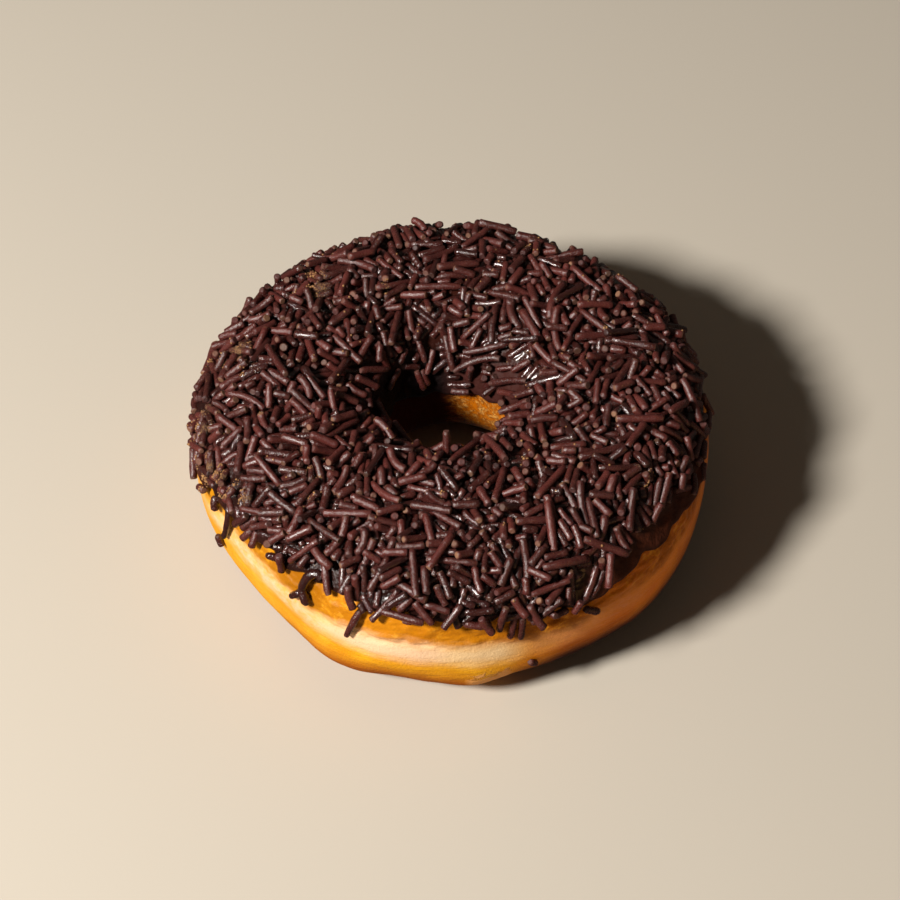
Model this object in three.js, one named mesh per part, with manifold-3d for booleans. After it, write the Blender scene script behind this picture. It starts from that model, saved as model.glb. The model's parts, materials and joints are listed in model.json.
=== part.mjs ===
// Ring doughnut with chocolate icing and sprinkles, in millimetres, +Z up.
// A raised dough ring stands on its flat underside. The icing covers the top, runs a little way into the hole
// and down the outer side, and carries the sprinkles.
// The origin is on the table, under the middle of the doughnut.
import * as THREE from "three";
import { ParametricGeometry } from "three/addons/geometries/ParametricGeometry.js";
import { mergeVertices } from "three/addons/utils/BufferGeometryUtils.js";
import Module from "manifold-3d";

const wasm = await Module();
wasm.setup();

// ---- Driving dimensions ----
const ringCentre = [0.5, -0.8]; // the outline's middle, set so that the whole box is centred on the origin
const bellyRadius = 46.2; // to the outer side, at its widest
const holeRadius = 11; // at the narrowest height
const doughHeight = 30;
const bellyHeight = 15; // where the ring is widest
const flattening = 0.8; // how far the round underside would reach below the table it rests on
const topRoundness = 2.3; // superellipse exponents: 2 is an ellipse, and more is squarer
const baseRoundness = 2.6;

// A hand-shaped ring's unevenness: [waves in a turn, height in mm, turn of the first crest in degrees].
const outlineWaves = [
  [2, 0.7, -44],
  [3, 0.36, 25],
  [4, 0.46, -7.5],
  [5, 0.41, 23.6],
  [6, 0.35, 15.7],
];
const holeWaves = [
  [1, 1.8, 108],
  [2, 0.4, 0],
];
const crownWaves = [
  [2, 0.3, 100],
  [3, 0.25, 40],
];

// The icing's edges, by their height on the dough, and their lobes: [turn and width in degrees, drop in mm].
const outerEdgeHeight = 21.6;
const innerEdgeHeight = 17;
const outerLobes = [
  [20, 12, 1.3],
  [62, 9, -1.1],
  [95, 14, 1.6],
  [140, 12, -1.2],
  [186, 13, 2.4],
  [245, 22, -2.1],
  [296, 7, 2.2],
  [338, 8, 2.6],
];
const innerLobes = [
  [84, 16, 1.4],
  [150, 18, -1.8],
  [230, 25, -1],
  [355, 20, -1.2],
];

const icingGap = 0.35; // left between the faceted icing and the faceted dough
const icingOnTop = 1.9; // thickness of the icing with the sprinkles that are sunk in it
const icingInHole = 1.3;
const icingLip = 1.6; // how far in from its edge the icing reaches that thickness

const sprinkleCount = 210;
const sprinkleRadius = 0.64;
const longestSprinkle = 9;
const shortestSprinkle = 5;
const sprinkleSeat = 0.15; // height of a sprinkle's axis over the icing
const sprinkleTilt = 7; // largest slope against the icing, in degrees
const edgeMargin = 0.035; // share of the icing's width that is left free along each edge
const placeTries = 12; // places drawn for each sprinkle, of which the freest is taken
const seed = 20268;

// ---- Facets ----
const turnSteps = 60;
const doughSteps = 22;
const icingTopSteps = 15;
const icingUnderSteps = 12;
const sprinkleSides = 5;
const facetTolerance = 0.05; // slivers left by joining are merged within this

const { degToRad, radToDeg, clamp, lerp, smoothstep, euclideanModulo } = THREE.MathUtils;

function waves(list, turn) {
  return list.reduce((sum, [count, height, crest]) => {
    return sum + height * Math.cos(count * (turn - degToRad(crest)));
  }, 0);
}

function lobes(list, turn) {
  return list.reduce((sum, [at, width, drop]) => {
    const away = euclideanModulo(radToDeg(turn) - at + 180, 360) - 180;
    return sum + drop * Math.exp(-((away / width) ** 2));
  }, 0);
}

function signedPower(value, exponent) {
  return Math.sign(value) * Math.abs(value) ** exponent;
}

// A point of the dough. turn runs round the ring, and roll round its section: 0 is the outer side,
// a quarter turn the crown, and half a turn the wall of the hole.
function doughPoint(turn, roll) {
  const outer = bellyRadius + waves(outlineWaves, turn);
  const inner = holeRadius + waves(holeWaves, turn);
  const crown = doughHeight + waves(crownWaves, turn);
  const roundness = Math.sin(roll) > 0 ? topRoundness : baseRoundness;
  const across = signedPower(Math.cos(roll), 2 / roundness);
  const up = signedPower(Math.sin(roll), 2 / roundness);
  const radius = (outer + inner) / 2 + ((outer - inner) / 2) * across;
  const height = bellyHeight + up * (up > 0 ? crown - bellyHeight : bellyHeight + flattening);
  return new THREE.Vector3(
    ringCentre[0] + radius * Math.cos(turn),
    ringCentre[1] + radius * Math.sin(turn),
    Math.max(height, 0),
  );
}

function doughNormal(turn, roll) {
  const step = 1e-3;
  const along = doughPoint(turn + step, roll).sub(doughPoint(turn - step, roll));
  const round = doughPoint(turn, roll + step).sub(doughPoint(turn, roll - step));
  return along.cross(round).normalize();
}

// The roll at which the dough's upper, outer quarter has a given height.
function rollAtHeight(height) {
  const up = (height - bellyHeight) / (doughHeight - bellyHeight);
  return Math.asin(clamp(up, 0, 1) ** (topRoundness / 2));
}

// ---- Icing ----

// The icing's width runs over the top: share 0 is its outer edge, and share 1 its edge in the hole.
function icingPlace(turn, share) {
  const outerRoll = rollAtHeight(outerEdgeHeight - lobes(outerLobes, turn));
  const innerRoll = Math.PI - rollAtHeight(innerEdgeHeight - lobes(innerLobes, turn));
  const roll = lerp(outerRoll, innerRoll, share);
  const width = ((innerRoll - outerRoll) * (bellyRadius - holeRadius)) / 2;
  const thickness = lerp(icingOnTop, icingInHole, smoothstep(roll, Math.PI / 2, innerRoll));
  const rise = clamp((Math.min(share, 1 - share) * width) / icingLip, 0, 1);
  const normal = doughNormal(turn, roll);
  return {
    foot: doughPoint(turn, roll).addScaledVector(normal, icingGap),
    normal,
    thickness,
    lift: thickness * Math.sqrt(1 - (1 - rise) ** 2),
  };
}

function icingTop(turn, share) {
  const { foot, normal, lift } = icingPlace(turn, share);
  return foot.addScaledVector(normal, lift);
}

// The icing's section: over the top from the outer edge to the hole, then back along its underside.
function icingSection(turn, progress) {
  const step = progress * (icingTopSteps + icingUnderSteps);
  if (step <= icingTopSteps) return icingTop(turn, (1 - Math.cos((Math.PI * step) / icingTopSteps)) / 2);
  return icingPlace(turn, 1 - (step - icingTopSteps) / icingUnderSteps).foot;
}

// ---- Meshes and solids ----

// A ring-shaped skin from a function of the turn and of the progress round its section.
function ringSkin(pointAt, sectionSteps) {
  const place = (turnShare, progress, target) => {
    target.copy(pointAt((turnShare % 1) * 2 * Math.PI, progress % 1));
  };
  return new ParametricGeometry(place, turnSteps, sectionSteps);
}

function toSolid(geometry) {
  const bare = geometry.clone();
  bare.deleteAttribute("normal");
  bare.deleteAttribute("uv");
  const merged = mergeVertices(bare);
  return new wasm.Manifold(
    new wasm.Mesh({
      numProp: 3,
      vertProperties: merged.attributes.position.array,
      triVerts: new Uint32Array(merged.index.array),
    }),
  );
}

function toGeometry(solid) {
  const { numProp, vertProperties, triVerts } = solid.getMesh();
  const stacked = new THREE.InterleavedBuffer(vertProperties, numProp);
  const geometry = new THREE.BufferGeometry();
  geometry.setAttribute("position", new THREE.InterleavedBufferAttribute(stacked, 3, 0));
  geometry.setIndex(new THREE.BufferAttribute(triVerts, 1));
  return geometry.toNonIndexed();
}

// ---- Sprinkles ----

// A small seeded generator, so that each run scatters the sprinkles alike.
function seededRandom(start) {
  let state = start;
  return () => {
    state = (state + 0x6d2b79f5) | 0;
    let mixed = Math.imul(state ^ (state >>> 15), 1 | state);
    mixed = (mixed + Math.imul(mixed ^ (mixed >>> 7), 61 | mixed)) ^ mixed;
    return ((mixed ^ (mixed >>> 14)) >>> 0) / 2 ** 32;
  };
}

// A place on the icing, even over its area: one nearer the hole, where the ring is shorter, is kept less often.
function drawPlace(random) {
  for (;;) {
    const turn = random() * 2 * Math.PI;
    const share = lerp(edgeMargin, 1 - edgeMargin, random());
    const point = icingTop(turn, share);
    const reach = Math.hypot(point.x - ringCentre[0], point.y - ringCentre[1]);
    if (random() * bellyRadius < reach) return { turn, share, point };
  }
}

// Of several places, the one with the most room round it, so that the sprinkles spread evenly.
function freestPlace(random, taken) {
  const roomAt = (place) => Math.min(...taken.map((other) => other.point.distanceToSquared(place.point)));
  const places = Array.from({ length: placeTries }, () => drawPlace(random));
  return places.reduce((best, place) => (roomAt(place) > roomAt(best) ? place : best));
}

function sprinkle({ turn, share }, length, random) {
  const { foot, normal, thickness } = icingPlace(turn, share);
  const along = new THREE.Vector3(-Math.sin(turn), Math.cos(turn), 0);
  const direction = along.applyAxisAngle(normal, random() * Math.PI);
  const hinge = direction.clone().cross(normal).normalize();
  direction.applyAxisAngle(hinge, degToRad(sprinkleTilt) * (2 * random() - 1));
  // The icing curves away under both ends, so the sprinkle sinks in by half of that.
  const curveRadius = (bellyRadius - holeRadius) / 2;
  const sink = length ** 2 / (16 * curveRadius);
  const middle = foot.addScaledVector(normal, thickness + sprinkleSeat - sink);
  const rod = new THREE.CylinderGeometry(sprinkleRadius, sprinkleRadius, length, sprinkleSides);
  rod.applyQuaternion(new THREE.Quaternion().setFromUnitVectors(new THREE.Vector3(0, 1, 0), direction));
  rod.translate(middle.x, middle.y, middle.z);
  return toSolid(rod);
}

function sprinkles() {
  const random = seededRandom(seed);
  const taken = [];
  return Array.from({ length: sprinkleCount }, (_, i) => {
    const place = freestPlace(random, taken);
    taken.push(place);
    return sprinkle(place, lerp(longestSprinkle, shortestSprinkle, i / (sprinkleCount - 1)), random);
  });
}

// The icing joined with its sprinkles. Keeping only the largest body fills the pockets that they seal off.
function icingWithSprinkles() {
  const icing = toSolid(ringSkin(icingSection, icingTopSteps + icingUnderSteps));
  const bodies = wasm.Manifold.union([icing, ...sprinkles()]).decompose();
  const largest = bodies.reduce((best, body) => (body.volume() > best.volume() ? body : best));
  const skin = toGeometry(largest.asOriginal().simplify(facetTolerance));
  skin.computeVertexNormals();
  return skin;
}

// ---- The doughnut ----

function piece(name, geometry, color, roughness) {
  const mesh = new THREE.Mesh(geometry, new THREE.MeshStandardMaterial({ color, roughness, metalness: 0 }));
  mesh.name = name;
  return mesh;
}

const doughSkin = ringSkin((turn, progress) => doughPoint(turn, progress * 2 * Math.PI), doughSteps);

const doughnut = new THREE.Group();
doughnut.add(piece("dough_ring", doughSkin, 0xd08a3a, 0.55));
doughnut.add(piece("chocolate_icing", icingWithSprinkles(), 0x3a211c, 0.4));

export default doughnut;
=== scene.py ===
import itertools
import json
import math

import bpy
import numpy as np
from mathutils import Matrix, Vector

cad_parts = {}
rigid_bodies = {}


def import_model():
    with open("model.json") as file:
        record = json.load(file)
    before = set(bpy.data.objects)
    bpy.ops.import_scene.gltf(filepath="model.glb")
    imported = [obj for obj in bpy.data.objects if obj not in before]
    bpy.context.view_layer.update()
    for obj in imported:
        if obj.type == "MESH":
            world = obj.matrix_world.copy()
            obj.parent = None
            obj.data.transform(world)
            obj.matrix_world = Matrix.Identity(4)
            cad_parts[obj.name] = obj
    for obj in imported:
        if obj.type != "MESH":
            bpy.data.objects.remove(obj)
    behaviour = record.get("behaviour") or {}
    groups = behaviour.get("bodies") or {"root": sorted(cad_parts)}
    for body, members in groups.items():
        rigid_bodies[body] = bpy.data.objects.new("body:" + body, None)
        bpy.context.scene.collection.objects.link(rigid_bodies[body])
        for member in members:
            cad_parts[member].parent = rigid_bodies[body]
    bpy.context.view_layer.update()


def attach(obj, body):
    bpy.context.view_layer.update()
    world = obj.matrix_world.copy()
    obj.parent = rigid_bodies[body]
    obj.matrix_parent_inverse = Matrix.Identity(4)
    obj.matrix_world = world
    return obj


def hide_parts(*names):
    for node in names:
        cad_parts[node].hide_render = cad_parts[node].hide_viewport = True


# A ring doughnut under dark chocolate icing, covered with chocolate sprinkles.
# Sizes are in millimetres and turns in degrees, until a mesh is made in metres.
# A turn runs round the ring from +X. A roll runs round its section: 0 is the outer side, 90 degrees
# the crown, and 180 degrees the wall of the hole.

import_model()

MM = 0.001
RING_CENTRE = (0.5, -0.8)

# Named sizes of the ring, as the trees' inputs have them.
RING = {
    "Belly Radius": 46.2,
    "Hole Radius": 11.0,
    "Dough Height": 30.0,
    "Belly Height": 15.0,
    "Flattening": 0.8,
    "Top Roundness": 2.3,
    "Base Roundness": 2.6,
}

# [waves in a turn, height, turn of the first crest]
OUTLINE_WAVES = [(2, 0.7, -44), (3, 0.36, 25), (4, 0.46, -7.5), (5, 0.41, 23.6), (6, 0.35, 15.7)]
HOLE_WAVES = [(1, 1.8, 108), (2, 0.4, 0)]
CROWN_WAVES = [(2, 0.3, 100), (3, 0.25, 40)]
# Bulges low on the outer side: [turn, width, how far out]
LOW_BULGES = [(240, 9, 0.9), (256, 7, -0.4), (272.5, 6, 0.7)]

# The icing's edges, by their height on the dough, with lobes as [turn, width, drop] and fine scallops
# as waves.
OUTER_EDGE = 22.8
INNER_EDGE = 17.0
OUTER_LOBES = [
    (20, 12, 1.3), (62, 9, -1.1), (95, 14, 1.6), (140, 12, -1.2),
    (186, 13, 2.4), (245, 22, -1.6), (274, 7, 0.7), (297, 8, 2.0), (338, 8, 2.6), (316, 22, 0.5),
]
INNER_LOBES = [(84, 16, 1.4), (150, 18, -1.8), (230, 25, -1), (355, 20, -1.2)]
OUTER_SCALLOPS = [(19, 0.28, 10), (31, 0.3, 47), (43, 0.2, 80), (71, 0.12, 15)]
INNER_SCALLOPS = [(7, 0.35, 30), (11, 0.3, 5), (17, 0.2, 60)]

ICING_THICKNESS = 0.95
# Where the sprinkles stay back from an edge: [turn, half width, and how far back in degrees of roll]
BARE_APRON = [(319.5, 18, 19)]
BARE_IN_HOLE = [(130, 45, 14), (268, 28, 10)]


# ---- Formulas that read the same for arrays and for Geometry Nodes ----

class Field:
    """A number that varies over a mesh in a node tree."""

    def __init__(self, tree, socket):
        self.tree, self.socket = tree, socket

    def __add__(self, other):
        return calculate("ADD", self, other)

    def __sub__(self, other):
        return calculate("SUBTRACT", self, other)

    def __mul__(self, other):
        return calculate("MULTIPLY", self, other)

    def __truediv__(self, other):
        return calculate("DIVIDE", self, other)

    def __rsub__(self, other):
        return calculate("SUBTRACT", other, self)

    def __rtruediv__(self, other):
        return calculate("DIVIDE", other, self)

    def __neg__(self):
        return calculate("MULTIPLY", self, -1.0)

    __radd__ = __add__
    __rmul__ = __mul__


def calculate(operation, *values):
    """A Math node on these values, as a Field."""
    tree = next(value.tree for value in values if isinstance(value, Field))
    node = tree.nodes.new("ShaderNodeMath")
    node.operation = operation
    for entry, value in zip(node.inputs, values):
        if isinstance(value, Field):
            tree.links.new(value.socket, entry)
        else:
            entry.default_value = value
    return Field(tree, node.outputs[0])


def either(array_function, operation):
    def apply(*values):
        if any(isinstance(value, Field) for value in values):
            return calculate(operation, *values)
        return array_function(*values)
    return apply


sin = either(np.sin, "SINE")
cos = either(np.cos, "COSINE")
arccos = either(lambda x: np.arccos(np.clip(x, -1, 1)), "ARCCOSINE")
arcsin = either(np.arcsin, "ARCSINE")
arctan2 = either(np.arctan2, "ARCTAN2")
power = either(np.power, "POWER")
root = either(np.sqrt, "SQRT")
exponential = either(np.exp, "EXPONENT")
size_of = either(np.abs, "ABSOLUTE")
sign = either(np.sign, "SIGN")
greater = either(np.greater, "GREATER_THAN")
least = either(np.minimum, "MINIMUM")
most = either(np.maximum, "MAXIMUM")


def clamp(value, low=0.0, high=1.0):
    return least(most(value, low), high)


def smooth_step(value, start, end):
    share = clamp((value - start) / (end - start))
    return share * share * (3.0 - share * 2.0)


def mix(a, b, share):
    return a + (b - a) * share


def signed_power(value, exponent):
    return sign(value) * power(size_of(value), exponent)


def waves(crests, turn):
    total = 0.0
    for count, height, crest in crests:
        total = cos((turn - math.radians(crest)) * count) * height + total
    return total


def lobes(bumps, turn):
    total = 0.0
    for at, width, drop in bumps:
        away = arccos(cos(turn - math.radians(at))) / math.radians(width)
        total = exponential(-(away * away)) * drop + total
    return total


# ---- The ring ----

def ring_limits(size, turn):
    outer = size["Belly Radius"] + waves(OUTLINE_WAVES, turn)
    inner = size["Hole Radius"] + waves(HOLE_WAVES, turn)
    crown = size["Dough Height"] + waves(CROWN_WAVES, turn)
    return outer, inner, crown


def section(size, turn, roll):
    """Radius and height of a point of the dough, and its outward normal as (across, up)."""
    outer, inner, crown = ring_limits(size, turn)
    upper = greater(sin(roll), 0.0)
    roundness = mix(size["Base Roundness"], size["Top Roundness"], upper)
    half_width = (outer - inner) / 2.0
    reach = mix(size["Belly Height"] + size["Flattening"], crown - size["Belly Height"], upper)
    across = signed_power(cos(roll), 2.0 / roundness)
    up = signed_power(sin(roll), 2.0 / roundness)
    slope_across = signed_power(across, roundness - 1.0) / half_width
    slope_up = signed_power(up, roundness - 1.0) / reach
    slope = root(slope_across * slope_across + slope_up * slope_up)
    radius = (outer + inner) / 2.0 + half_width * across
    return radius, size["Belly Height"] + reach * up, slope_across / slope, slope_up / slope


def ring_point(size, turn, roll, lift):
    """X, Y and Z of a point that stands off the dough by lift."""
    radius, height, across, up = section(size, turn, roll)
    radius = radius + across * lift
    height = most(height + up * lift, 0.0)
    return radius * cos(turn) + RING_CENTRE[0], radius * sin(turn) + RING_CENTRE[1], height


def roll_at_height(size, height):
    """The roll at which the dough's upper, outer quarter has that height."""
    up = (height - size["Belly Height"]) / (size["Dough Height"] - size["Belly Height"])
    return arcsin(power(clamp(up), size["Top Roundness"] / 2.0))


def icing_rolls(size, turn, raise_outer=0.0, raise_inner=0.0):
    """The rolls of the icing's outer edge and of its edge in the hole."""
    outer = OUTER_EDGE - lobes(OUTER_LOBES, turn) + waves(OUTER_SCALLOPS, turn)
    inner = INNER_EDGE - lobes(INNER_LOBES, turn) + waves(INNER_SCALLOPS, turn)
    return (
        roll_at_height(size, outer + raise_outer),
        math.pi - roll_at_height(size, inner + raise_inner),
    )


# ---- Node trees ----

class Nodes:
    """A node tree, with a short way to add nodes."""

    def __init__(self, tree):
        self.tree = tree

    def node(self, kind, inputs=None, **settings):
        """A new node. inputs has a value, a Field or a socket by each input's name or number."""
        node = self.tree.nodes.new(kind)
        for name, value in settings.items():
            setattr(node, name, value)
        for name, value in (inputs or {}).items():
            if isinstance(value, Field):
                value = value.socket
            if isinstance(value, bpy.types.NodeSocket):
                self.tree.links.new(value, node.inputs[name])
            else:
                node.inputs[name].default_value = value
        return node


# ---- Geometry Nodes trees ----

LUMP_SHIFTS = (0, 40, 80)  # between the noises that move a point in x, y and z
SEAM_GAP = 0.002  # points nearer than this are joined
SOCKETS = {
    float: "NodeSocketFloat", int: "NodeSocketInt",
    bpy.types.Material: "NodeSocketMaterial", bpy.types.Object: "NodeSocketObject",
}


class Tree(Nodes):
    """A Geometry Nodes tree with named inputs, and the values that it is used with."""

    def __init__(self, name, values):
        super().__init__(bpy.data.node_groups.new(name, "GeometryNodeTree"))
        self.tree.interface.new_socket("Geometry", in_out="INPUT", socket_type="NodeSocketGeometry")
        self.values = values
        for label, value in values.items():
            kind = next(known for known in SOCKETS if isinstance(value, known))
            self.tree.interface.new_socket(label, in_out="INPUT", socket_type=SOCKETS[kind])
        self.tree.interface.new_socket("Geometry", in_out="OUTPUT", socket_type="NodeSocketGeometry")
        self.start = self.tree.nodes.new("NodeGroupInput")

    def given(self, label):
        return Field(self.tree, self.start.outputs[label])

    def sizes(self):
        return {label: self.given(label) for label in RING}

    def vector(self, x, y, z):
        return self.node("ShaderNodeCombineXYZ", {0: x, 1: y, 2: z}).outputs[0]

    def here(self):
        """Each point's place, in millimetres."""
        spot = self.node("ShaderNodeSeparateXYZ", {0: self.node("GeometryNodeInputPosition").outputs[0]})
        return [Field(self.tree, part) / MM for part in spot.outputs]

    def objects(self, *labels):
        """The geometry of the objects that these inputs name, joined."""
        joined = self.tree.nodes.new("GeometryNodeJoinGeometry")
        for label in labels:
            info = self.node("GeometryNodeObjectInfo", {"Object": self.given(label)})
            self.tree.links.new(info.outputs["Geometry"], joined.inputs[0])
        return joined.outputs[0]

    def lumpy(self, mesh, scale, height):
        """The mesh with its points moved by noise, height millimetres at most."""
        x, y, z = self.here()
        parts = [
            self.noise(x + shift, y, z, scale, 1.0) * (2 * height * MM) for shift in LUMP_SHIFTS
        ]
        return self.node(
            "GeometryNodeSetPosition", {"Geometry": mesh, "Offset": self.vector(*parts)}
        ).outputs[0]

    def noise(self, x, y, z, scale, detail=2.0, rough=0.5):
        """Noise from about -0.5 to 0.5."""
        node = self.node(
            "ShaderNodeTexNoise",
            {"Vector": self.vector(x, y, z), "Scale": scale, "Detail": detail, "Roughness": rough},
        )
        return Field(self.tree, node.outputs[0]) - 0.5

    def unwrapped_grid(self, turn_steps, section_steps):
        """A grid, with its turn and its progress across the section as Fields."""
        columns, rows = self.given(turn_steps) + 1.0, self.given(section_steps) + 1.0
        grid = self.node(
            "GeometryNodeMeshGrid",
            {"Size X": 1.0, "Size Y": 1.0, "Vertices X": columns, "Vertices Y": rows},
        )
        x, y, _ = self.here()
        return grid.outputs["Mesh"], (x * MM + 0.5) * (2 * math.pi), y * MM + 0.5

    def placed(self, mesh, x, y, z):
        """The mesh with its points at x, y, z in millimetres, and its seams closed."""
        spot = self.vector(x * MM, y * MM, z * MM)
        moved = self.node("GeometryNodeSetPosition", {"Geometry": mesh, "Position": spot})
        joined = self.node(
            "GeometryNodeMergeByDistance", {"Geometry": moved.outputs[0], "Distance": SEAM_GAP * MM}
        )
        return joined.outputs[0]

    def end(self, geometry, material):
        smooth = self.node("GeometryNodeSetShadeSmooth", {"Geometry": geometry})
        real = self.node("GeometryNodeRealizeInstances", {"Geometry": smooth.outputs[0]})
        painted = self.node(
            "GeometryNodeSetMaterial", {"Geometry": real.outputs[0], "Material": self.given(material)}
        )
        finish = self.tree.nodes.new("NodeGroupOutput")
        self.tree.links.new(painted.outputs[0], finish.inputs[0])


def make_piece(name, tree, start=None):
    """Runs a tree on a start mesh, and returns the result as a plain mesh object."""
    worker = bpy.data.objects.new(name + "_start", start or bpy.data.meshes.new(name + "_start"))
    bpy.context.scene.collection.objects.link(worker)
    modifier = worker.modifiers.new(name, "NODES")
    modifier.node_group = tree.tree
    for item in tree.tree.interface.items_tree:
        if item.in_out == "INPUT" and item.name in tree.values:
            modifier[item.identifier] = tree.values[item.name]
    graph = bpy.context.evaluated_depsgraph_get()
    mesh = bpy.data.meshes.new_from_object(worker.evaluated_get(graph), depsgraph=graph)
    worker.modifiers.remove(modifier)
    bpy.data.objects.remove(worker)
    piece = bpy.data.objects.new(name, mesh)
    mesh.name = name
    bpy.context.scene.collection.objects.link(piece)
    return piece


# ---- Materials ----

# Colours as a screen shows them, from 0 to 255.
COLOURS = {
    "amber_crust": (176, 98, 6),
    # painted shade on the upper crust near the front right
    "painted_shade_crust": (118, 56, 3),
    # pale blisters, with painted highlights on the relief's bumps
    "pale_blisters_and_highlights": (222, 154, 40),
    # painted shade in the relief's hollows
    "shaded_hollows": (134, 72, 3),
    "specks": (166, 88, 18),
    "torn_crumb": (222, 158, 92),
    # painted shade on the hole's wall
    "shaded_hole": (62, 26, 16),
    "lit_flakes": (232, 176, 92),
    "sheltered_icing": (48, 21, 15),
    "worn_sprinkle": (100, 50, 45),
    "sandy_sprinkle": (138, 84, 56),
    "cut_sprinkle": (132, 92, 64),
    # dark wet icing on sprinkles, and painted shade on those low in the heap
    "wet_sprinkle": (34, 13, 11),
    "dust": (150, 110, 68),
}
# Pairs of them, between which a surface varies.
COLOUR_PAIRS = {
    "lower_crust": ((206, 138, 26), (222, 157, 40)),
    "lower_crust_side": ((212, 118, 10), (226, 138, 18)),
    "lower_crust_front": ((218, 144, 14), (232, 167, 28)),
    # copies of the crust with painted warm bounce light, for the far side in shade
    "lower_crust_painted_bounce": ((214, 108, 4), (228, 129, 8)),
    # painted shade along the base, darker on the far side
    "base_shade": ((166, 86, 8), (62, 24, 6)),
    "upper_crust": ((168, 108, 12), (198, 134, 22)),
    "upper_crust_side": ((174, 96, 6), (200, 120, 12)),
    "upper_crust_painted_bounce": ((180, 92, 5), (204, 112, 8)),
    "pale_band": ((212, 156, 84), (214, 172, 134)),
    "floury_band": ((238, 202, 152), (228, 189, 152)),
    # painted light on the hole's wall
    "lit_hole_crust": ((136, 66, 4), (184, 100, 8)),
    "icing": ((28, 13, 11), (42, 20, 16)),
    "thin_icing": ((62, 27, 13), (82, 37, 17)),
    # painted shade deep in the hole's icing, lighter where light is painted
    "deep_icing_painted_shade_and_light": ((14, 5, 5), (56, 25, 20)),
    "sprinkle": ((45, 17, 16), (81, 34, 31)),
    "crumb": ((112, 76, 48), (170, 128, 84)),
}


def linear(red, green, blue):
    """A screen's colour as the shaders take it."""
    def convert(value):
        value /= 255
        return value / 12.92 if value <= 0.04045 else ((value + 0.055) / 1.055) ** 2.4
    return convert(red), convert(green), convert(blue)


class Paint(Nodes):
    """A shader tree, with what the materials are painted with."""

    def field(self, socket):
        return Field(self.tree, socket)

    def place(self):
        """Object coordinates in millimetres."""
        spot = self.node("ShaderNodeTexCoord").outputs["Object"]
        return self.node(
            "ShaderNodeVectorMath", {0: spot, 1: (1 / MM, 1 / MM, 1 / MM)}, operation="MULTIPLY"
        ).outputs[0]

    def round_the_ring(self):
        """Object coordinates, and each point's distance from the ring's axis, turn and height."""
        place = self.place()
        parts = self.node("ShaderNodeSeparateXYZ", {0: place}).outputs
        x, y, z = (self.field(part) for part in parts)
        x, y = x - RING_CENTRE[0], y - RING_CENTRE[1]
        return place, root(x * x + y * y), arctan2(y, x), z

    def attribute(self, name):
        return self.field(self.node("ShaderNodeAttribute", attribute_name=name).outputs["Fac"])

    def noise(self, place, scale, detail=2.0, rough=0.5, stretch=None):
        if stretch:
            place = self.node(
                "ShaderNodeVectorMath", {0: place, 1: stretch}, operation="MULTIPLY"
            ).outputs[0]
        node = self.node(
            "ShaderNodeTexNoise", {"Vector": place, "Scale": scale, "Detail": detail, "Roughness": rough}
        )
        return self.field(node.outputs[0])

    def blend(self, share, a, b):
        """Colour a turning into colour b. Each is a socket, a name of COLOURS or a screen's colour."""
        node = self.node("ShaderNodeMix", {0: share}, data_type="RGBA")
        for entry, value in ((node.inputs[6], a), (node.inputs[7], b)):
            if isinstance(value, bpy.types.NodeSocket):
                self.tree.links.new(value, entry)
            else:
                entry.default_value = (*linear(*COLOURS.get(value, value)), 1)
        return node.outputs[2]

    def pair(self, share, name):
        """One colour of a pair turning into the other."""
        return self.blend(share, *COLOUR_PAIRS[name])

    def blend_all(self, colour, layers):
        """A colour under layers, each a share and a colour."""
        for share, layer in layers:
            colour = self.blend(share, colour, layer)
        return colour


def food_grain_group():
    """Fine unevenness of food: a patchy share from 0 to 1, and a grain height."""
    group = bpy.data.node_groups.new("food_grain", "ShaderNodeTree")
    for name in ("Patch Scale", "Grain Scale"):
        group.interface.new_socket(name, in_out="INPUT", socket_type="NodeSocketFloat")
    for name in ("Patches", "Grain"):
        group.interface.new_socket(name, in_out="OUTPUT", socket_type="NodeSocketFloat")
    paint = Paint(group)
    start = paint.node("NodeGroupInput")
    place = paint.place()
    patches = paint.noise(place, start.outputs["Patch Scale"], 4.0, 0.6)
    grain = paint.noise(place, start.outputs["Grain Scale"], 3.0, 0.65)
    finish = paint.node("NodeGroupOutput")
    group.links.new(smooth_step(patches, 0.3, 0.7).socket, finish.inputs["Patches"])
    group.links.new(grain.socket, finish.inputs["Grain"])
    return group


FOOD_GRAIN = food_grain_group()


def new_material(name, patch_scale, grain_scale, **surface):
    """A material with the food grain in it. surface has constants of the Principled shader."""
    material = bpy.data.materials.new(name)
    material.use_nodes = True
    paint = Paint(material.node_tree)
    shader = material.node_tree.nodes["Principled BSDF"]
    for label, value in surface.items():
        shader.inputs[label.replace("_", " ").title().replace("Ior", "IOR")].default_value = value
    grain = paint.node("ShaderNodeGroup", node_tree=FOOD_GRAIN)
    grain.inputs["Patch Scale"].default_value = patch_scale
    grain.inputs["Grain Scale"].default_value = grain_scale
    return material, paint, shader, paint.field(grain.outputs[0]), paint.field(grain.outputs[1])


def finish_material(paint, shader, colour, roughness, relief, depth, coat=None):
    """Links the colour, the roughness, the relief, whose depth is in millimetres, and a coat."""
    bump = paint.node("ShaderNodeBump", {"Height": relief, "Distance": depth * MM})
    paint.tree.links.new(colour, shader.inputs["Base Color"])
    paint.tree.links.new(roughness.socket, shader.inputs["Roughness"])
    paint.tree.links.new(bump.outputs[0], shader.inputs["Normal"])
    if coat:
        paint.tree.links.new(coat.socket, shader.inputs["Coat Weight"])


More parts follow.
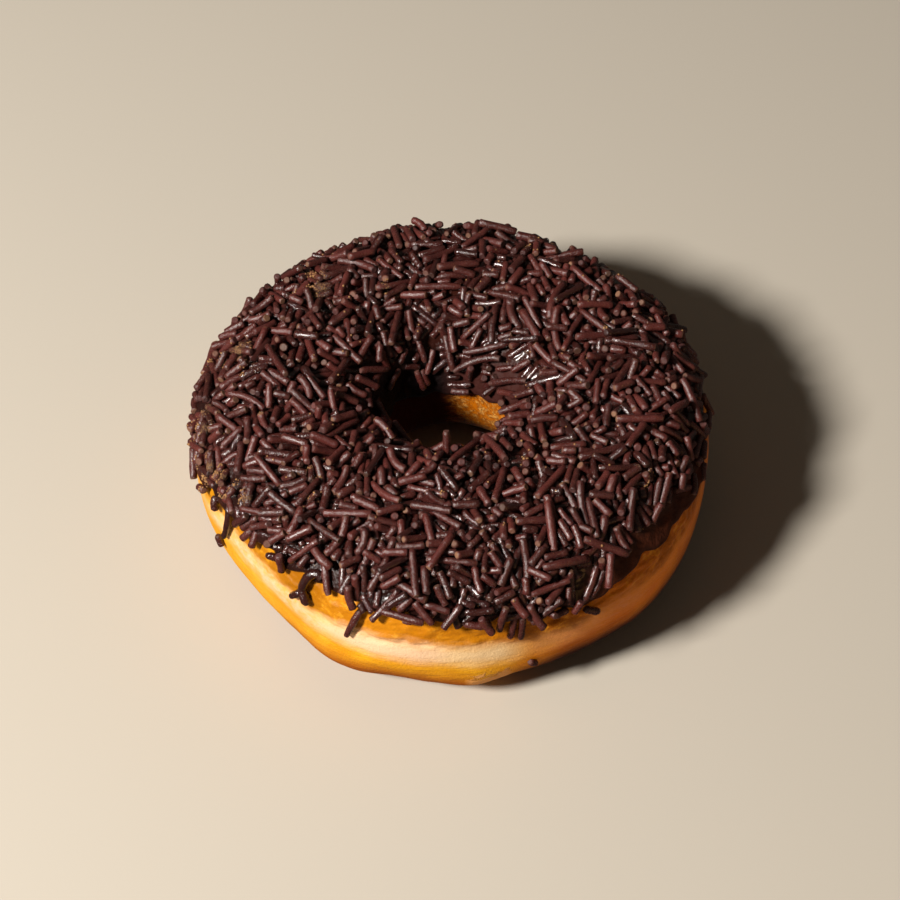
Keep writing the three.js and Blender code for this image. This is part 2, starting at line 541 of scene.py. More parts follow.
# Zones of the dough's finish: [turn, and the cosines of how far from it the zone ends and is whole]
DOUGH_ZONES = {
    "front": (268, 0.8, 0.96),
    "back": (115, -0.3, 0.3),
    "side": (35, -0.2, 0.7),
    "far": (325, 0.6, 0.88),
    # where painted shade darkens the upper crust, and the band lies lower
    "shaded_upper_zone": (284, 0.93, 0.985),
    "pale_band": (238, 0.68, 0.78),
    "narrow_band": (205, 0.8, 0.95),
    "high_band": (216, 0.93, 0.99),
    "faint_band": (297, 0.95, 0.99),
    "floury_band": (253, 0.96, 0.99),
    # zones of the painted shade along the base
    "front_base_shade": (249, 0.866, 0.95),
    "far_base_shade": (0, 0.3, 0.9),
    "darkest_base_shade": (340, 0.9, 0.98),
    "torn": (275.5, 0.995, 0.9985),
}
RAISED_BAND_TURN = 242  # where the pale band lies a little higher than on the other side of the ring
LIT_HOLE_TURN = 48  # the part of the hole's wall and of its icing where light is painted


def dough_material():
    material, paint, shader, patches, grain = new_material(
        "fried_dough", 0.16, 2.2, specular_ior_level=0.14, specular_tint=(1, 0.75, 0.5, 1)
    )
    place, radius, turn, z = paint.round_the_ring()
    near = {
        name: smooth_step(cos(turn - math.radians(at)), end, whole)
        for name, (at, end, whole) in DOUGH_ZONES.items()
    }
    front, side, far = near["front"], near["side"] * 0.75, near["far"]
    far_base_shade = most(far, near["far_base_shade"])
    outside = smooth_step(radius, 28.0, 33.0)
    streaks = paint.noise(place, 0.55, 4.0, 0.7, stretch=(0.35, 0.35, 1.6)) - 0.5
    fibres = paint.noise(place, 1.2, 3.0, 0.6, stretch=(0.4, 0.4, 1.3)) - 0.5
    blotches = paint.noise(place, 0.75, 4.0, 0.65, stretch=(0.6, 0.6, 1.0)) - 0.5
    drift = paint.noise(place, 0.045, 2.0) - 0.5
    fine = paint.noise(place, 3.0, 3.0, 0.7)

    # The pale band, and the golden crust above it, by a height that wavers round the ring.
    level = z + near["shaded_upper_zone"] * 1.3 + drift * 4.0 + streaks * 2.6 + fibres * 0.6
    level = level - cos(turn - math.radians(RAISED_BAND_TURN)) * 0.4 - near["high_band"] * 1.8
    band = smooth_step(level, mix(12.0, 13.0, near["narrow_band"]), 16.2)
    band = band * (1.0 - smooth_step(level, 16.9, mix(20.2, 19.4, near["narrow_band"]))) * outside
    paleness = most(mix(0.1, 0.96, near["pale_band"]), near["back"] * 0.5) + near["faint_band"] * 0.16
    band = band * paleness
    above = smooth_step(level, 16.8, 19.2)

    # Painted shade along the base: darker towards the bottom, reaching higher at the front, and darker
    # and higher still on the far side.
    base_start = mix(mix(1.5, 6.5, near["front_base_shade"]), 7.0, far_base_shade)
    base_end = mix(8.5, 13.6, near["front_base_shade"])
    base_end = mix(base_end, mix(14.5, 18.0, near["darkest_base_shade"]), far_base_shade)
    base_shade = 1.0 - smooth_step(z + drift * 4.0 + streaks * 3.0, base_start, base_end)

    lower = paint.blend_all(paint.pair(patches, "lower_crust"), (
        (side, paint.pair(patches, "lower_crust_side")),
        (front, paint.pair(patches, "lower_crust_front")),
        # painted warm bounce light on the far side, which lies in shade
        (far, paint.pair(patches, "lower_crust_painted_bounce")),
        # painted shade along the base
        (base_shade, paint.pair(far_base_shade, "base_shade")),
    ))
    upper = paint.blend_all(paint.pair(patches, "upper_crust"), (
        (side, paint.pair(patches, "upper_crust_side")),
        # painted warm bounce light on the far side, which lies in shade
        (far, paint.pair(patches, "upper_crust_painted_bounce")),
        (front * 0.55, "amber_crust"),
        # painted shade on the upper crust
        (near["shaded_upper_zone"] * 0.15, "painted_shade_crust"),
        # pale blisters with painted highlights on the relief's bumps, and painted shade in its hollows
        (smooth_step(blotches, 0.02, 0.2) * 0.5, "pale_blisters_and_highlights"),
        (smooth_step(drift * 1.5 - blotches, 0.0, 0.3) * 0.6, "shaded_hollows"),
    ))
    pale = paint.pair(smooth_step(blotches, -0.15, 0.15), "pale_band")
    pale = paint.blend(front, pale, paint.pair(near["floury_band"], "floury_band"))
    # A small torn place low on the front, where the crumb shows.
    torn = near["torn"] * (1.0 - smooth_step(z + blotches * 8.0, 9.0, 9.6))
    # The wall of the hole is painted with light and shade: crumbly and golden, with pale flakes, where
    # light is painted on it, and painted shade elsewhere.
    lit = smooth_step(cos(turn - math.radians(LIT_HOLE_TURN)) + (streaks + drift) * 0.4, 0.7, 0.9)
    crumbly = smooth_step(paint.noise(place, 1.5, 4.0, 0.75), 0.38, 0.6)
    flakes_where_lit = smooth_step(paint.noise(place, 1.1, 5.0, 0.8), 0.5, 0.58) * (1.0 - outside) * lit
    colour = paint.blend_all(lower, (
        (above, upper),
        (band, pale),
        (smooth_step(fine, 0.54, 0.8) * 0.4, "specks"),
        (torn * 0.8, "torn_crumb"),
        (1.0 - outside, paint.blend(lit, "shaded_hole", paint.pair(crumbly, "lit_hole_crust"))),
        (flakes_where_lit * 0.55, "lit_flakes"),
    ))

    roughness = mix(0.5, 0.36, above) + band * 0.08 + fibres * 0.4
    roughness = mix(roughness, 0.9, (1.0 - outside) * (1.0 - lit))
    marks = mix(streaks * 0.8 + fibres * 0.2, blotches * 0.6, above) * mix(0.2, 1.0, outside)
    relief = grain * 0.3 + marks * (1.0 - band * 0.6) + flakes_where_lit * 0.3 + torn * 0.6
    finish_material(paint, shader, colour, roughness, relief, 0.32)
    return material


def icing_material():
    material, paint, shader, patches, grain = new_material(
        "chocolate_icing", 0.3, 0.9, coat_roughness=0.07, specular_ior_level=0.14
    )
    place, radius, turn, height = paint.round_the_ring()
    outside = smooth_step(radius, 25.0, 30.0)
    # painted shade deep in the hole
    hole_shade = 1.0 - smooth_step(radius, 13.0, 16.0)
    lit = smooth_step(cos(turn - math.radians(LIT_HOLE_TURN)), 0.6, 0.9)
    ragged = paint.noise(place, 0.8, 4.0, 0.7) - 0.5
    # Thin and matt along its outer edge, and further up on the bare apron.
    apron = smooth_step(cos(turn - math.radians(BARE_APRON[0][0])), 0.9, 0.97)
    thin = (1.0 - smooth_step(height + ragged * 5.0 - apron * 4.0, 20.0, 24.5)) * outside
    colour = paint.blend_all(paint.pair(patches, "icing"), (
        (thin * 0.85, paint.pair(patches, "thin_icing")),
        # deep in the hole the icing is painted: near black shade, browner where light is painted
        (1.0 - outside, paint.blend(hole_shade, "sheltered_icing", paint.pair(lit, "deep_icing_painted_shade_and_light"))),
    ))
    roughness = mix(mix(0.16, 0.6, thin), 0.6, hole_shade) + patches * 0.1
    gloss = (1.0 - thin) * (1.0 - hole_shade) * mix(0.08, 0.6, patches)
    finish_material(paint, shader, colour, roughness, grain + ragged * 0.7, 0.24, gloss)
    return material


def sprinkle_material():
    material, paint, shader, patches, grain = new_material(
        "chocolate_sprinkles", 0.9, 2.9, coat_roughness=0.1, specular_ior_level=0.59
    )
    tone, end, cut, wet, dust = (paint.attribute(name) for name in ("tone", "end", "cut", "wet", "dust"))
    place = paint.place()
    specks = paint.noise(place, 3.2, 4.0, 0.75)
    dusty = smooth_step(specks + dust * 0.3, 0.66, 0.76)
    fine = paint.noise(place, 6.5, 2.0, 0.6)
    colour = paint.blend_all(paint.pair(tone, "sprinkle"), (
        (patches * 0.3, "worn_sprinkle"),
        (smooth_step(fine, 0.56, 0.7) * 0.45, "sandy_sprinkle"),
        (end * cut, "cut_sprinkle"),
        # dark wet icing, and painted shade on sprinkles low in the heap
        (wet * 0.7, "wet_sprinkle"),
        (dusty * 0.85, "dust"),
    ))
    roughness = mix(0.3, 0.14, wet) + (grain - 0.5) * 0.5 + dusty * 0.4 + end * 0.4
    gloss = wet * (1.0 - dusty) * (1.0 - end) * 0.5
    relief = grain + fine * 0.2 + dusty * specks
    finish_material(paint, shader, colour, roughness, relief, 0.14, gloss)
    return material


def crumb_material():
    material, paint, shader, patches, grain = new_material(
        "dry_crumbs", 1.5, 6.0, specular_ior_level=0.2
    )
    finish_material(paint, shader, paint.pair(patches, "crumb"), grain * 0.2 + 0.7, grain, 0.05)
    return material


DOUGH_PAINT = dough_material()
ICING_PAINT = icing_material()
SPRINKLE_PAINT = sprinkle_material()
CRUMB_PAINT = crumb_material()


# ---- Dough ----

# The dough's roll runs in stretches, fine on the outer side and in the hole, and coarse where icing
# covers it: [where in its steps each starts and ends, and its degrees]
FIRST_ROLL = -80.0
ROLL_STRETCHES = [(0, 0.62, 115), (0.62, 0.7, 110), (0.7, 0.92, 90), (0.92, 1, 45)]


def dough_tree():
    tree = Tree("ring_dough", {
        **RING, "Turn Steps": 440, "Section Steps": 220,
        "Blister Height": 0.9, "Lump Height": 0.55, "Dough Material": DOUGH_PAINT,
    })
    size = tree.sizes()
    grid, turn, progress = tree.unwrapped_grid("Turn Steps", "Section Steps")
    roll = FIRST_ROLL
    for start, end, degrees in ROLL_STRETCHES:
        roll = clamp((progress - start) / (end - start)) * degrees + roll
    roll = roll * math.radians(1)
    x, y, z = ring_point(size, turn, roll, 0.0)
    # Round the ring the relief is longer than it is high.
    long_x, long_y = x * 0.45, y * 0.45
    outer_side = greater(cos(roll), 0.0)
    above = smooth_step(z, 17.5, 19.5) * outer_side
    pale_blisters_and_highlights = size_of(tree.noise(long_x, long_y, z * 0.8, 0.6, 2.0)) * 2.0
    wrinkles = tree.noise(long_x, long_y, z * 0.8, 1.1, 2.0) * 0.7
    lumps = tree.noise(x, y, z, 0.07, 2.0)
    low = 1.0 - smooth_step(z, 2.0, 12.0)
    relief = above * (pale_blisters_and_highlights + wrinkles - 0.35) * tree.given("Blister Height")
    relief = relief + lumps * (low * 2.0 + 0.8) * tree.given("Lump Height") + wrinkles * 0.1
    relief = relief + lobes(LOW_BULGES, turn) * (1.0 - smooth_step(z, 7.0, 14.0)) * outer_side
    x, y, z = ring_point(size, turn, roll, relief)
    tree.end(tree.placed(grid, x, y, z), "Dough Material")
    return tree


dough = make_piece("fried_dough_ring", dough_tree())


# ---- Sprinkles: laid at random, then settled as rigid chains of small balls ----

# Dry dust on the sprinkles: [turn, radius, spread, number of crumbs, cover from 0 to 1]
DUST_PATCHES = [
    (180.5, 43.2, 1.1, 60, 0.8), (185.5, 43.0, 1.1, 60, 0.9), (199.5, 42.3, 1.2, 110, 1.0),
    (203.5, 42.0, 0.9, 60, 1.0), (195.5, 44.0, 1.0, 50, 0.8), (191.0, 43.6, 1.0, 40, 0.6),
    (209.8, 41.1, 0.7, 30, 0.9), (162.7, 38.8, 1.5, 80, 0.8),
    (133.1, 33.0, 1.8, 70, 0.7), (128.0, 35.5, 1.1, 35, 0.7), (114.3, 26.0, 0.9, 25, 0.6),
    (170.7, 34.6, 1.0, 20, 0.6), (327.4, 37.8, 0.8, 25, 0.6), (282.5, 33.8, 0.5, 10, 0.5),
    (264.7, 26.5, 0.5, 9, 0.5), (305.0, 23.6, 0.9, 16, 0.5), (22.1, 28.7, 0.5, 8, 0.5),
    (213.8, 31.4, 0.6, 9, 0.6), (224.4, 33.9, 0.6, 10, 0.6), (219.0, 31.8, 0.6, 10, 0.7),
    (64.0, 36.0, 0.8, 20, 0.5), (40.0, 40.0, 1.2, 30, 0.5),
]

# Bare pools of icing between the sprinkles: [turn, radius, half width]
POOLS = [(201.6, 41.2, 1.6)]

SEED = 7
SPRINKLE_COUNT = 2080
KINDS = [(0.3, 1.8, 3.1), (0.53, 3.1, 5.2), (0.17, 5.2, 8.6)]  # [share, shortest, longest]
MEAN_RADIUS, RADIUS_SPREAD, THINNEST, THICKEST = 0.67, 0.05, 0.55, 0.79
SHORT = 3.2  # shorter ones are never bent
BENT_SHARE = 0.65  # of the longer ones
BEND_SPREAD = 0.055  # in lengths
CURVED = 0.06  # bend from which a sprinkle counts as curved
STEEP_SHARE = 0.13
STEEP_TILTS = (35, 80)
TILT_SPREAD = 14  # of the others
LOWEST_START, START_DEPTH = 0.4, 4.2  # over the icing
# Heights over the icing's outer and inner edges between which they are scattered, and then settle.
START_EDGES = (0.4, 4.2)
END_EDGES = (-0.2, 3.2)
SLACK_SPREAD = 0.055  # of how far one may pass the edges, in radians of roll
FRONT_TURN = 265
THINNED = 0.35  # how much sparser they lie along the outer edge, but for the front
PLASTIC_RATIO = 1.32471795724  # its powers spread pairs of shares evenly

SETTLE_STEPS = 420
PULLS = [(0.7, 0.026), (0.85, 0.008), (1, 0.0)]  # [until which share of the steps, pull in a step]
END_INSET = 0.8  # radii from a sprinkle's end to its last ball's middle
BALL_SPACING = 1.05  # largest, in radii
SEAT = 0.35  # radii from the icing up to the axis of a sprinkle that lies in it
PAIR_REACH = 1.85  # balls nearer than this are listed in pairs
PAIR_STEPS = 6  # steps for which a list of pairs serves
CELLS, FIRST_CELL = 512, 128  # of the grid that pairs are found in
ROLL_LENGTH = 17  # millimetres for a roll of one radian
EDGE_PUSH = 0.3  # share of the way back to the edge in a step
MOVE_SHARE, TURN_SHARE = 1.17, 0.9  # of the mean push, taken in a step
TURN_WEIGHT = 0.25  # added to the inertia, so that short ones don't spin
LARGEST_TURN = 0.15  # in a step

# Sprinkles that end up higher, or further over the icing's edge, are left out.
HIGHEST = 4.9
OVERHANG = 0.15  # in radians of roll
LOW_EDGE = 2.3  # how much lower the heap is along its outer edge
PRESSED_TURN, PRESSED = 190, 0.35  # where the heap is flatter still, and by how much


def locate(points):
    """Turn, roll, lift off the dough, outward normal and way toward the hole of points over the ring."""
    x, y = points[:, 0] - RING_CENTRE[0], points[:, 1] - RING_CENTRE[1]
    turn = np.arctan2(y, x)
    outer, inner, crown = ring_limits(RING, turn)
    half_width, reach = (outer - inner) / 2, crown - RING["Belly Height"]
    across = (np.hypot(x, y) - (outer + inner) / 2) / half_width
    up = np.maximum((points[:, 2] - RING["Belly Height"]) / reach, 1e-3)
    side, across = np.sign(across), np.abs(across) + 1e-6
    n = RING["Top Roundness"]
    level = (across ** n + up ** n) ** (1 / n)
    slope_across = side * (across / level) ** (n - 1) / half_width
    slope_up = (up / level) ** (n - 1) / reach
    slope = np.hypot(slope_across, slope_up)
    lift = (level - 1) / slope
    across_n, up_n = slope_across / slope, slope_up / slope
    cosine, sine = np.cos(turn), np.sin(turn)
    normal = np.stack([across_n * cosine, across_n * sine, up_n], -1)
    inward = np.stack([-up_n * cosine, -up_n * sine, across_n], -1)
    roll = np.arctan2((up / level) ** (n / 2), side * (across / level) ** (n / 2))
    return turn, roll, lift, normal, inward


def points_over_ring(turn, roll, lift):
    """Points that stand off the dough, and their outward normals."""
    _, _, across, up = section(RING, turn, roll)
    normal = np.stack([across * np.cos(turn), across * np.sin(turn), up], -1)
    return np.stack(ring_point(RING, turn, roll, lift), -1), normal


def held_back(patches, turn):
    """How far the sprinkles stay back from an edge, as a roll."""
    total = 0.0 * turn
    for at, width, back in patches:
        away = np.arccos(np.clip(np.cos(turn - math.radians(at)), -1, 1)) / math.radians(width)
        total = total + math.radians(back) * np.exp(-(away ** 4))
    return total


def sprinkled_rolls(turn, raise_outer, raise_inner):
    """The rolls between which sprinkles lie."""
    outer, inner = icing_rolls(RING, turn, raise_outer, raise_inner)
    return outer + held_back(BARE_APRON, turn), inner - held_back(BARE_IN_HOLE, turn)


def unit(vectors):
    return vectors / np.linalg.norm(vectors, axis=-1, keepdims=True)


def scatter(count, random):
    """Sprinkles at random over the icing: lengths, radii, bends, and where each is and points."""
    kind = random.choice(len(KINDS), count, p=[share for share, _, _ in KINDS])
    draws = [random.uniform(low, high, count) for _, low, high in KINDS]
    length = np.choose(kind, draws)
    radius = np.clip(random.normal(MEAN_RADIUS, RADIUS_SPREAD, count), THINNEST, THICKEST)
    bend = np.where(length > SHORT, random.normal(0, BEND_SPREAD, count) * length, 0)
    bend = bend * (random.random(count) < BENT_SHARE)
    # Evenly spread places, kept in proportion to the area that each stands for.
    index = np.arange(1, 20 * count)
    first, second = random.random(2)
    turn = (first + index / PLASTIC_RATIO) % 1 * 2 * np.pi
    low, high = sprinkled_rolls(turn, *START_EDGES)
    roll = low + (high - low) * ((second + index / PLASTIC_RATIO ** 2) % 1)
    step = 1e-3
    ahead, behind, inner, outer = (
        points_over_ring(turn + a * step, roll + b * step, 0.0)[0]
        for a, b in ((1, 0), (-1, 0), (0, 1), (0, -1))
    )
    area = np.linalg.norm(ahead - behind, axis=1) * np.linalg.norm(inner - outer, axis=1)
    area = area * (high - low)
    area = area * (1 - THINNED * (1 - smooth_step(roll, 0.5, 1.1)) * away_from_front(turn))
    kept = random.random(len(area)) < area / area.max()
    turn, roll = turn[kept][:count], roll[kept][:count]
    lift = ICING_THICKNESS + LOWEST_START + random.random(count) * START_DEPTH
    centre, normal = points_over_ring(turn, roll, lift)
    along = np.stack([-np.sin(turn), np.cos(turn), 0 * turn], -1)
    heading = random.random(count) * 2 * np.pi
    tilt = np.where(
        random.random(count) < STEEP_SHARE,
        random.uniform(math.radians(STEEP_TILTS[0]), math.radians(STEEP_TILTS[1]), count),
        np.abs(random.normal(0, math.radians(TILT_SPREAD), count)),
    )
    flat = along * np.cos(heading)[:, None] + np.cross(normal, along) * np.sin(heading)[:, None]
    axis = unit(flat * np.cos(tilt)[:, None] + normal * np.sin(tilt)[:, None])
    side = unit(np.cross(axis, normal))
    turned = random.random(count) * 2 * np.pi
    side = side * np.cos(turned)[:, None] + np.cross(axis, side) * np.sin(turned)[:, None]
    slack = random.normal(0.0, SLACK_SPREAD, count)
    return {
        "length": length, "radius": radius, "bend": bend, "slack": slack,
        "centre": centre, "axis": axis, "side": side,
    }


def away_from_front(turn):
    """1 at the back and both sides of the ring, and 0 at its front."""
    return smooth_step(np.cos(turn - math.radians(FRONT_TURN)), 0.9, 0.5)


def near_pairs(points, owner, reach):
    """Pairs of balls of different sprinkles that are nearer than reach."""
    cell = np.floor(points / reach).astype(np.int64) + FIRST_CELL
    key = (cell[:, 0] * CELLS + cell[:, 1]) * CELLS + cell[:, 2]
    order = np.argsort(key, kind="stable")
    ordered = key[order]
    index = np.arange(len(points))
    firsts, seconds = [], []
    for shift in itertools.product((-1, 0, 1), repeat=3):
        if shift < (0, 0, 0):
            continue  # found from the other cell
        wanted = key + (shift[0] * CELLS + shift[1]) * CELLS + shift[2]
        low = np.searchsorted(ordered, wanted, "left")
        count = np.searchsorted(ordered, wanted, "right") - low
        first = np.repeat(index, count)
        skip = np.repeat(low - np.concatenate([[0], np.cumsum(count)[:-1]]), count)
        second = order[skip + np.arange(count.sum())]
        if shift == (0, 0, 0):
            first, second = first[second > first], second[second > first]
        firsts.append(first)
        seconds.append(second)
    first, second = np.concatenate(firsts), np.concatenate(seconds)
    apart = points[first] - points[second]
    kept = (owner[first] != owner[second]) & ((apart * apart).sum(1) < reach * reach)
    return first[kept], second[kept]


def summed(owner, values, count):
    """Each sprinkle's sum of its balls' values."""
    return np.stack([np.bincount(owner, values[:, c], count) for c in range(3)], -1)


def settle(sticks, steps):
    """Lets the sprinkles sink to the icing and lie on each other, and pushes overlaps apart."""
    centre, axis, side = sticks["centre"], sticks["axis"], sticks["side"]
    total = len(centre)
    half = sticks["length"] / 2 - sticks["radius"] * END_INSET
    balls = np.maximum(2, np.ceil(2 * half / (sticks["radius"] * BALL_SPACING)).astype(int) + 1)
    owner = np.repeat(np.arange(total), balls)
    number = np.arange(len(owner)) - np.concatenate([[0], np.cumsum(balls)[:-1]])[owner]
    share = number / (balls[owner] - 1) * 2 - 1
    along = (share * half[owner])[:, None]
    aside = (sticks["bend"][owner] * (share ** 2 - 1 / 3))[:, None]
    radius = sticks["radius"][owner]
    floor = ICING_THICKNESS + radius * SEAT
    slack = sticks["slack"][owner]
    for step in range(steps):
        point = centre[owner] + axis[owner] * along + side[owner] * aside
        if step % PAIR_STEPS == 0:
            first, second = near_pairs(point, owner, PAIR_REACH)
        pull = next(pull for until, pull in PULLS if step < steps * until)
        turn, roll, lift, normal, inward = locate(point)
        apart = point[first] - point[second]
        distance = np.sqrt((apart * apart).sum(1)) + 1e-9
        gap = distance - radius[first] - radius[second]
        touching = gap < 0
        a, b = first[touching], second[touching]
        push = apart[touching] * (-gap[touching] / distance[touching] / 2)[:, None]
        move = summed(a, push, len(point)) - summed(b, push, len(point))
        contacts = np.bincount(a, minlength=len(point)) + np.bincount(b, minlength=len(point))
        under = floor - lift
        sunk = under > 0
        move[sunk] += normal[sunk] * under[sunk][:, None]
        low, high = sprinkled_rolls(turn, *END_EDGES)
        low, high = low - slack, high + slack
        out = np.where(roll < low, low - roll, np.where(roll > high, high - roll, 0)) * ROLL_LENGTH
        move += inward * (out * EDGE_PUSH)[:, None]
        contacts = contacts + sunk + (out != 0)
        held = np.maximum(np.bincount(owner, contacts, total), 1)[:, None]
        arm = point - centre[owner]
        torque = summed(owner, np.cross(arm, move), total)
        inertia = np.bincount(owner, (arm * arm).sum(1) * contacts, total)[:, None] + TURN_WEIGHT * held
        turned = torque / inertia * TURN_SHARE
        turned *= np.minimum(1, LARGEST_TURN / (np.linalg.norm(turned, axis=1, keepdims=True) + 1e-9))
        centre = centre + summed(owner, move, total) / held * MOVE_SHARE - locate(centre)[3] * pull
        axis = unit(axis + np.cross(turned, axis))
        side = side + np.cross(turned, side)
        side = unit(side - axis * (side * axis).sum(1, keepdims=True))
    turn, roll, lift, _, _ = locate(point)
    highest, overhang = np.zeros(total), np.zeros(total)
    pressed = smooth_step(np.cos(turn - math.radians(PRESSED_TURN)), 0.95, 0.99)
    low_edge = (LOW_EDGE + pressed * PRESSED) * (1 - smooth_step(roll, 0.5, 1.2)) * away_from_front(turn)
    np.maximum.at(highest, owner, lift + low_edge)
    np.maximum.at(overhang, owner, sprinkled_rolls(turn, *END_EDGES)[0] - roll)
    settled = {"centre": centre, "axis": axis, "side": side, "lift": highest, "overhang": overhang}
    return {**sticks, **settled}


# ---- Single sprinkles and drips on the bare dough ----

# Each is a line of [turn, height, lift off the dough], its radius, and how wet it is.
STRAYS = [
    ([(205.3, 24.2, 1.2), (206.5, 22.6, 1.0), (206.8, 20.0, 0.7), (205.8, 17.4, 0.6)], 0.66, 0.9),
    ([(202.6, 15.1, 0.6), (203.3, 14.1, 0.65), (204.2, 13.2, 0.6)], 0.64, 0.5),
    ([(200.3, 22.9, 1.1), (201.0, 21.9, 1.2), (201.7, 21.0, 0.9)], 0.76, 0.2),
    ([(248.3, 23.6, 0.9), (247.0, 21.2, 0.8), (245.6, 18.3, 0.7)], 0.66, 0.25),
    ([(270.4, 23.2, 1.1), (273.3, 22.6, 1.5), (276.2, 22.4, 1.2)], 0.68, 0.1),
    ([(257.8, 23.4, 1.0), (261.1, 23.8, 1.3), (264.8, 24.8, 1.3)], 0.66, 0.2),
    ([(302.7, 25.6, 0.9), (299.7, 23.7, 1.0), (296.5, 21.6, 0.9)], 0.68, 0.4),
    ([(303.8, 24.7, 0.8), (301.0, 23.1, 0.9), (298.2, 21.7, 0.8)], 0.62, 0.4),
    ([(281.4, 22.8, 1.0), (280.6, 21.0, 0.9), (279.9, 19.3, 0.7)], 0.64, 0.3),
    ([(283.1, 22.4, 1.1), (282.6, 20.5, 0.8), (282.2, 18.5, 0.7)], 0.66, 0.5),
    ([(289.8, 20.9, 0.8), (291.4, 21.3, 1.0), (293.0, 21.2, 0.9)], 0.66, 0.4),
    ([(296.6, 20.4, 0.9), (298.1, 19.6, 1.0), (299.7, 18.7, 0.8)], 0.7, 0.3),
    ([(284.2, 10.8, 0.3), (285.0, 10.2, 0.35), (285.8, 9.7, 0.3)], 0.62, 0.2),
    ([(226.0, 24.3, 0.9), (223.8, 23.6, 0.8), (221.4, 23.1, 0.9)], 0.66, 0.9),
    ([(226.9, 25.8, 1.2), (230.6, 26.1, 1.3), (234.5, 26.4, 1.2)], 0.66, 0.8),
    ([(236.6, 27.2, 1.6), (238.5, 25.8, 1.5), (240.5, 23.9, 1.3)], 0.7, 0.2),
    ([(240.6, 28.2, 1.6), (242.2, 26.9, 1.5), (243.4, 25.3, 1.3)], 0.68, 0.3),
]
DRIPS = [
    ([(237.6, 25.2, 1.1), (235.8, 25.4, 1.5), (234.2, 24.3, 1.4), (233.4, 21.8, 0.9)], 0.86, 1.0),
    ([(233.3, 21.8, 0.8), (232.1, 20.8, 0.75), (230.7, 19.7, 0.6)], 0.7, 1.0),
    ([(233.3, 22.4, 0.8), (234.3, 21.3, 0.75), (235.4, 20.3, 0.6)], 0.82, 1.0),
]
# Single sprinkles on the slope into the hole, as lines of [turn, radius, height].
HOLE_STRAYS = [
    ([(266.0, 14.6, 30.6), (266.0, 13.7, 32.8), (266.0, 12.8, 34.8)], 0.66, 0.2),
    ([(170.1, 13.3, 26.2), (177.0, 11.8, 24.1), (187.0, 10.0, 21.1)], 0.66, 0.3),
    ([(91.0, 11.7, 20.9), (86.0, 11.5, 21.0), (80.0, 11.6, 20.9)], 0.48, 1.0),
    ([(91.0, 11.3, 19.4), (80.0, 11.0, 19.5), (69.0, 11.2, 19.9)], 0.52, 0.9),
    ([(88.0, 11.0, 17.9), (80.0, 10.8, 17.9), (71.0, 10.9, 18.1)], 0.66, 0.1),
    ([(116.5, 12.9, 23.2), (115.0, 12.0, 21.2), (113.4, 11.5, 19.3)], 0.66, 0.1),
    ([(112.2, 12.8, 23.0), (110.5, 12.1, 21.4), (108.7, 11.7, 19.9)], 0.66, 0.1),
    ([(300.6, 10.5, 28.6), (280.2, 13.2, 29.9), (268.0, 17.4, 31.9)], 0.68, 0.1),
    ([(299.1, 11.6, 29.8), (298.4, 15.3, 31.0), (297.0, 19.8, 32.4)], 0.7, 0.1),
    ([(309.5, 11.7, 28.4), (307.2, 14.5, 29.9), (304.6, 17.6, 31.2)], 0.7, 0.1),
    ([(6.2, 8.8, 22.8), (4.0, 11.4, 24.4), (358.8, 13.9, 27.1)], 0.66, 0.1),
    ([(351.3, 8.9, 22.4), (351.9, 10.9, 24.2), (347.0, 13.2, 26.8)], 0.72, 0.3),
    ([(129.4, 13.9, 24.6), (137.5, 13.5, 24.0), (146.3, 13.1, 23.2)], 0.6, 0.3),
    ([(143.0, 15.2, 27.0), (152.0, 14.8, 26.5), (161.0, 14.4, 26.0)], 0.62, 0.1),
    ([(109.4, 16.0, 28.2), (109.1, 14.3, 26.7), (108.5, 12.9, 24.8)], 0.6, 0.2),
    ([(100.2, 14.2, 26.0), (104.1, 13.0, 24.3), (108.6, 12.1, 22.4)], 0.62, 0.2),
    ([(90.8, 15.4, 28.1), (88.5, 13.1, 25.7), (85.4, 11.4, 22.9)], 0.66, 0.1),
    ([(84.4, 11.3, 22.9), (71.7, 11.9, 24.8), (58.4, 12.8, 26.4), (45.6, 13.5, 27.4)], 0.68, 0.1),
    ([(36.0, 11.0, 22.1), (24.0, 11.6, 23.6), (10.1, 12.6, 25.4)], 0.64, 0.1),
    ([(47.2, 11.0, 22.6), (30.2, 12.4, 25.3), (15.8, 14.5, 27.6)], 0.66, 0.1),
    ([(222.3, 19.3, 31.3), (230.8, 17.7, 31.2), (242.1, 17.0, 30.9)], 0.64, 0.1),
    ([(166.0, 15.0, 28.0), (172.7, 14.5, 27.6), (181.1, 14.1, 27.4)], 0.66, 0.1),
    ([(157.8, 16.9, 29.9), (150.7, 15.3, 28.7), (141.9, 13.9, 27.3)], 0.64, 0.1),
    ([(128.9, 14.0, 26.2), (123.3, 14.5, 26.9), (119.2, 15.1, 27.5)], 0.6, 0.3),
    ([(178.0, 13.2, 23.6), (190.0, 12.6, 23.3), (202.0, 12.3, 23.2)], 0.55, 0.4),
    ([(60.0, 12.9, 24.8), (56.2, 13.7, 26.1), (52.5, 14.9, 27.5)], 0.62, 0.3),
    ([(33.5, 13.8, 26.4), (30.0, 14.9, 27.7), (27.5, 16.6, 28.9)], 0.64, 0.3),
    ([(47.0, 12.9, 25.0), (41.0, 13.4, 25.8), (35.5, 14.2, 26.6)], 0.56, 0.5),
]
LINE_POINTS = 9  # along a single sprinkle or drip, and along another that is kept clear of it
CLEARANCE = -0.3  # between a single sprinkle and the others, which may touch it


def around(turn, radius):
    """X and Y of a place by its turn and its distance from the ring's axis."""
    a = math.radians(turn)
    return RING_CENTRE[0] + radius * math.cos(a), RING_CENTRE[1] + radius * math.sin(a)


